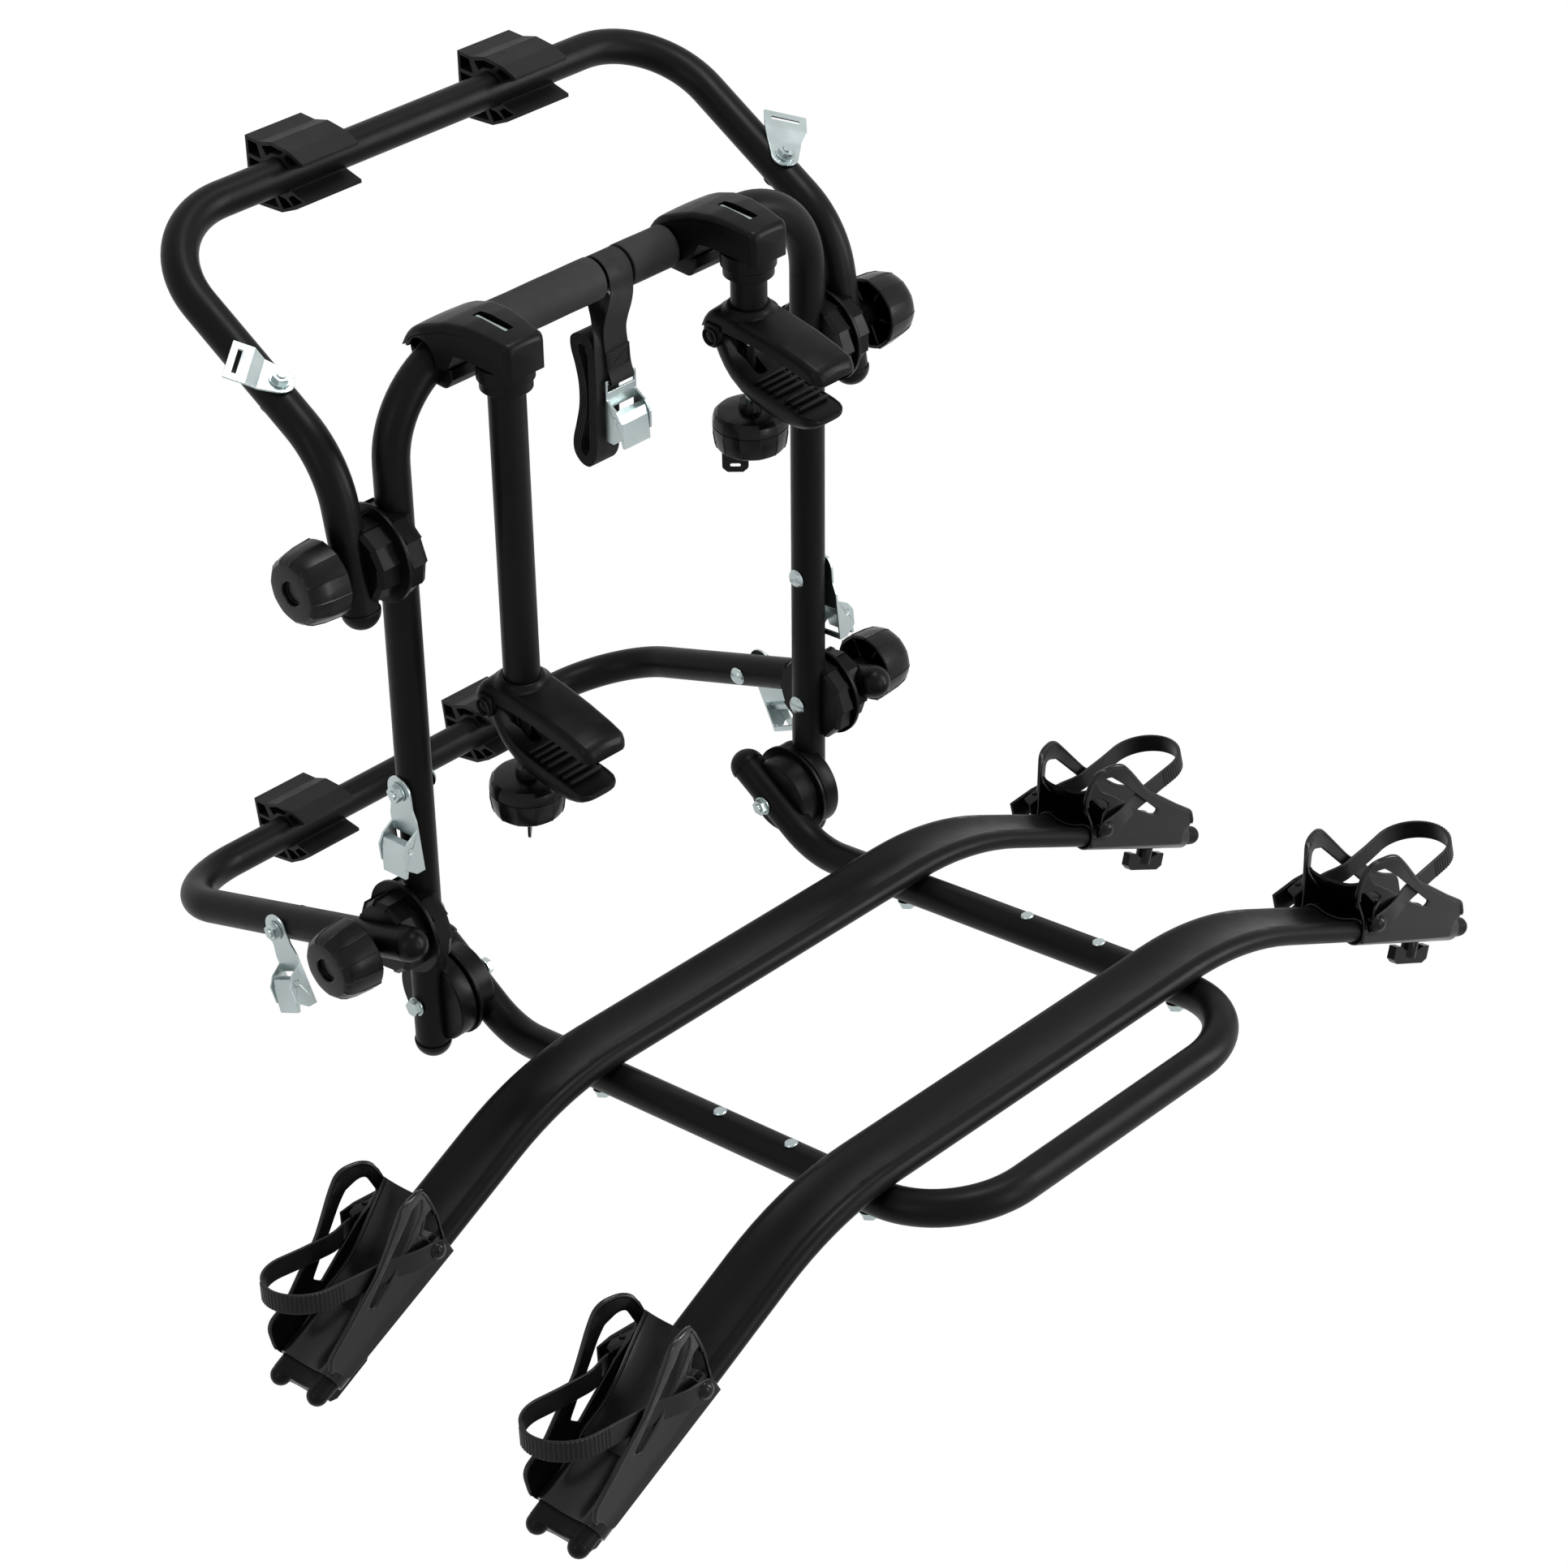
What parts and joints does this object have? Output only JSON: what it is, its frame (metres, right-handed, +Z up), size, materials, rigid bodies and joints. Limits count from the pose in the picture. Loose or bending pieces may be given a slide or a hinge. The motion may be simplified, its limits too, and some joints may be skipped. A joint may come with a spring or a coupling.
{
  "type": "rear car bike rack",
  "caption": "Folding rear car rack: hinged tube frames with pads, a platform with wheel trays and holders, and clamping arms on the top bar.",
  "frame": {"origin": "middle of the platform hinge line, in the plane of the main frame's legs", "axes": "+X across the car, +Y towards the car, +Z up"},
  "size_m": [1.0826, 0.9341, 0.831],
  "materials": {
    "powder_coat": "satin black powder coat",
    "zinc": "bright zinc plate",
    "matte_black": "fine grained matte black",
    "gloss_black": "smooth glossy black",
    "foam": "matte closed-cell foam",
    "rubber": "matte black rubber",
    "webbing": "woven black webbing"
  },
  "bodies": {
    "main_frame": {"main_frame_tube": "powder_coat", "main_frame_end_caps": "matte_black", "foam_sleeves": "foam", "main_hinge_discs": "matte_black", "main_frame_bolts": "zinc", "retention_strap": "webbing", "retention_buckle": "zinc"},
    "upper_frame": {"upper_frame_tube": "powder_coat", "upper_frame_end_caps": "matte_black", "upper_hinge_discs": "matte_black", "upper_frame_bolts": "zinc", "upper_frame_pads": "rubber"},
    "lower_frame": {"lower_frame_tube": "powder_coat", "lower_frame_end_caps": "matte_black", "lower_hinge_discs": "matte_black", "lower_frame_bolts": "zinc", "lower_frame_pads": "rubber"},
    "platform": {"platform_tube": "powder_coat", "platform_hinge_discs": "matte_black", "platform_end_caps": "matte_black", "platform_bolts": "zinc", "inner_tray": "powder_coat", "outer_tray": "powder_coat"},
    "retention_cam": {"retention_buckle_cam": "zinc"},
    "upper_knob_left": {"upper_knob_left": "gloss_black"},
    "lower_knob_left": {"lower_knob_left": "gloss_black"},
    "strap_bracket_left": {"strap_bracket_left": "zinc"},
    "leg_buckle_left": {"leg_buckle_left": "zinc"},
    "leg_buckle_cam_left": {"leg_buckle_cam_left": "zinc"},
    "lower_buckle_left": {"lower_buckle_left": "zinc"},
    "lower_buckle_cam_left": {"lower_buckle_cam_left": "zinc"},
    "upper_knob_right": {"upper_knob_right": "gloss_black"},
    "lower_knob_right": {"lower_knob_right": "gloss_black"},
    "strap_bracket_right": {"strap_bracket_right": "zinc"},
    "leg_buckle_right": {"leg_buckle_right": "zinc"},
    "leg_buckle_cam_right": {"leg_buckle_cam_right": "zinc"},
    "lower_buckle_right": {"lower_buckle_right": "zinc"},
    "lower_buckle_cam_right": {"lower_buckle_cam_right": "zinc"},
    "wheel_holder_inner_left": {"wheel_holder_inner_left": "matte_black", "wheel_strap_inner_left": "matte_black"},
    "wing_screw_inner_left": {"wing_screw_inner_left": "gloss_black"},
    "wheel_holder_inner_right": {"wheel_holder_inner_right": "matte_black", "wheel_strap_inner_right": "matte_black"},
    "wing_screw_inner_right": {"wing_screw_inner_right": "gloss_black"},
    "wheel_holder_outer_left": {"wheel_holder_outer_left": "matte_black", "wheel_strap_outer_left": "matte_black"},
    "wing_screw_outer_left": {"wing_screw_outer_left": "gloss_black"},
    "wheel_holder_outer_right": {"wheel_holder_outer_right": "matte_black", "wheel_strap_outer_right": "matte_black"},
    "wing_screw_outer_right": {"wing_screw_outer_right": "gloss_black"},
    "holder_head_left": {"holder_head_left": "matte_black"},
    "bike_arm_left": {"holder_arm_left": "powder_coat", "upper_jaw_left": "matte_black"},
    "lower_jaw_left": {"lower_jaw_left": "matte_black"},
    "clamp_knob_left": {"clamp_knob_left": "gloss_black"},
    "holder_head_right": {"holder_head_right": "matte_black"},
    "bike_arm_right": {"holder_arm_right": "powder_coat", "upper_jaw_right": "matte_black"},
    "lower_jaw_right": {"lower_jaw_right": "matte_black"},
    "clamp_knob_right": {"clamp_knob_right": "gloss_black"}
  },
  "joints": [
    {"name": "upper_frame_fold", "type": "hinge", "parent": "main_frame", "child": "upper_frame", "pos_m": [0, 0, 0.4516], "axis": [1, 0, 0], "range_deg": [-70, 60]},
    {"name": "lower_frame_fold", "type": "hinge", "parent": "main_frame", "child": "lower_frame", "pos_m": [0, 0, 0.088], "axis": [1, 0, 0], "range_deg": [-50, 75]},
    {"name": "platform_fold", "type": "hinge", "parent": "main_frame", "child": "platform", "pos_m": [0, 0, 0], "axis": [-1, 0, 0], "range_deg": [-10, 35]},
    {"name": "retention_cam_flip", "type": "hinge", "parent": "main_frame", "child": "retention_cam", "pos_m": [-0.0075, -0.033, 0.49], "axis": [-1, 0, 0], "range_deg": [0, 60]},
    {"name": "upper_knob_left_turn", "type": "hinge", "parent": "main_frame", "child": "upper_knob_left", "pos_m": [-0.3044, 0, 0.4516], "axis": [-1, 0, 0], "continuous": true},
    {"name": "lower_knob_left_turn", "type": "hinge", "parent": "main_frame", "child": "lower_knob_left", "pos_m": [-0.3044, 0, 0.088], "axis": [-1, 0, 0], "continuous": true},
    {"name": "strap_bracket_left_swivel", "type": "hinge", "parent": "upper_frame", "child": "strap_bracket_left", "pos_m": [-0.2744, 0.07934, 0.5717], "axis": [0, -0.4679, 0.8838], "range_deg": [-60, 60]},
    {"name": "leg_buckle_left_swivel", "type": "hinge", "parent": "main_frame", "child": "leg_buckle_left", "pos_m": [-0.2283, 0, 0.222], "axis": [-1, 0, 0], "range_deg": [-60, 60]},
    {"name": "leg_buckle_cam_left_flip", "type": "hinge", "parent": "leg_buckle_left", "child": "leg_buckle_cam_left", "pos_m": [-0.2551, -0.006, 0.17639], "axis": [0, 0.9914, -0.1305], "range_deg": [0, 60]},
    {"name": "lower_buckle_left_swivel", "type": "hinge", "parent": "lower_frame", "child": "lower_buckle_left", "pos_m": [-0.2744, 0.12432, 0.04102], "axis": [-1, 0, 0], "range_deg": [-60, 60]},
    {"name": "lower_buckle_cam_left_flip", "type": "hinge", "parent": "lower_buckle_left", "child": "lower_buckle_cam_left", "pos_m": [-0.3012, 0.10272, 0.00041], "axis": [0, 0.8829, -0.4695], "range_deg": [0, 60]},
    {"name": "upper_knob_right_turn", "type": "hinge", "parent": "main_frame", "child": "upper_knob_right", "pos_m": [0.3044, 0, 0.4516], "axis": [1, 0, 0], "continuous": true},
    {"name": "lower_knob_right_turn", "type": "hinge", "parent": "main_frame", "child": "lower_knob_right", "pos_m": [0.3044, 0, 0.088], "axis": [1, 0, 0], "continuous": true},
    {"name": "strap_bracket_right_swivel", "type": "hinge", "parent": "upper_frame", "child": "strap_bracket_right", "pos_m": [0.2744, 0.07934, 0.5717], "axis": [0, -0.4679, 0.8838], "range_deg": [-60, 60]},
    {"name": "leg_buckle_right_swivel", "type": "hinge", "parent": "main_frame", "child": "leg_buckle_right", "pos_m": [0.2283, 0, 0.222], "axis": [1, 0, 0], "range_deg": [-60, 60]},
    {"name": "leg_buckle_cam_right_flip", "type": "hinge", "parent": "leg_buckle_right", "child": "leg_buckle_cam_right", "pos_m": [0.2551, -0.006, 0.17639], "axis": [0, -0.9914, 0.1305], "range_deg": [0, 60]},
    {"name": "lower_buckle_right_swivel", "type": "hinge", "parent": "lower_frame", "child": "lower_buckle_right", "pos_m": [0.2744, 0.12432, 0.04102], "axis": [1, 0, 0], "range_deg": [-60, 60]},
    {"name": "lower_buckle_cam_right_flip", "type": "hinge", "parent": "lower_buckle_right", "child": "lower_buckle_cam_right", "pos_m": [0.3012, 0.10272, 0.00041], "axis": [0, -0.8829, 0.4695], "range_deg": [0, 60]},
    {"name": "wheel_holder_inner_left_slide", "type": "slide", "parent": "platform", "child": "wheel_holder_inner_left", "axis": [-0.9078, -0.0718, -0.4133], "range_m": [-0.08, 0.01]},
    {"name": "wing_screw_inner_left_turn", "type": "hinge", "parent": "wheel_holder_inner_left", "child": "wing_screw_inner_left", "pos_m": [-0.49208, -0.18379, -0.12844], "axis": [-0.4195, 0.1554, 0.8944], "continuous": true},
    {"name": "wheel_holder_inner_right_slide", "type": "slide", "parent": "platform", "child": "wheel_holder_inner_right", "axis": [0.9078, -0.0718, -0.4133], "range_m": [-0.08, 0.01]},
    {"name": "wing_screw_inner_right_turn", "type": "hinge", "parent": "wheel_holder_inner_right", "child": "wing_screw_inner_right", "pos_m": [0.49208, -0.18379, -0.12844], "axis": [0.4195, 0.1554, 0.8944], "continuous": true},
    {"name": "wheel_holder_outer_left_slide", "type": "slide", "parent": "platform", "child": "wheel_holder_outer_left", "axis": [-0.9078, -0.0718, -0.4133], "range_m": [-0.08, 0.01]},
    {"name": "wing_screw_outer_left_turn", "type": "hinge", "parent": "wheel_holder_outer_left", "child": "wing_screw_outer_left", "pos_m": [-0.49208, -0.49167, -0.07492], "axis": [-0.4195, 0.1554, 0.8944], "continuous": true},
    {"name": "wheel_holder_outer_right_slide", "type": "slide", "parent": "platform", "child": "wheel_holder_outer_right", "axis": [0.9078, -0.0718, -0.4133], "range_m": [-0.08, 0.01]},
    {"name": "wing_screw_outer_right_turn", "type": "hinge", "parent": "wheel_holder_outer_right", "child": "wing_screw_outer_right", "pos_m": [0.49208, -0.49167, -0.07492], "axis": [0.4195, 0.1554, 0.8944], "continuous": true},
    {"name": "arm_swing_left", "type": "hinge", "parent": "main_frame", "child": "holder_head_left", "pos_m": [-0.163, 0, 0.6023], "axis": [-1, 0, 0], "range_deg": [0, 35]},
    {"name": "arm_swivel_left", "type": "hinge", "parent": "holder_head_left", "child": "bike_arm_left", "pos_m": [-0.163, -0.065, 0.6023], "axis": [0, 0, 1], "range_deg": [-90, 90]},
    {"name": "claw_close_left", "type": "hinge", "parent": "bike_arm_left", "child": "lower_jaw_left", "pos_m": [-0.163, -0.046, 0.2996], "axis": [-1, 0, 0], "range_deg": [-12, 15]},
    {"name": "clamp_knob_turn_left", "type": "hinge", "parent": "bike_arm_left", "child": "clamp_knob_left", "pos_m": [-0.163, -0.065, 0.2146], "axis": [0, 0, 1], "continuous": true},
    {"name": "arm_swing_right", "type": "hinge", "parent": "main_frame", "child": "holder_head_right", "pos_m": [0.0965, 0, 0.6023], "axis": [-1, 0, 0], "range_deg": [0, 35]},
    {"name": "arm_swivel_right", "type": "hinge", "parent": "holder_head_right", "child": "bike_arm_right", "pos_m": [0.0965, -0.065, 0.6023], "axis": [0, 0, 1], "range_deg": [-90, 90]},
    {"name": "claw_close_right", "type": "hinge", "parent": "bike_arm_right", "child": "lower_jaw_right", "pos_m": [0.0965, -0.046, 0.535], "axis": [-1, 0, 0], "range_deg": [-12, 15]},
    {"name": "clamp_knob_turn_right", "type": "hinge", "parent": "bike_arm_right", "child": "clamp_knob_right", "pos_m": [0.0965, -0.065, 0.45], "axis": [0, 0, 1], "continuous": true}
  ]
}
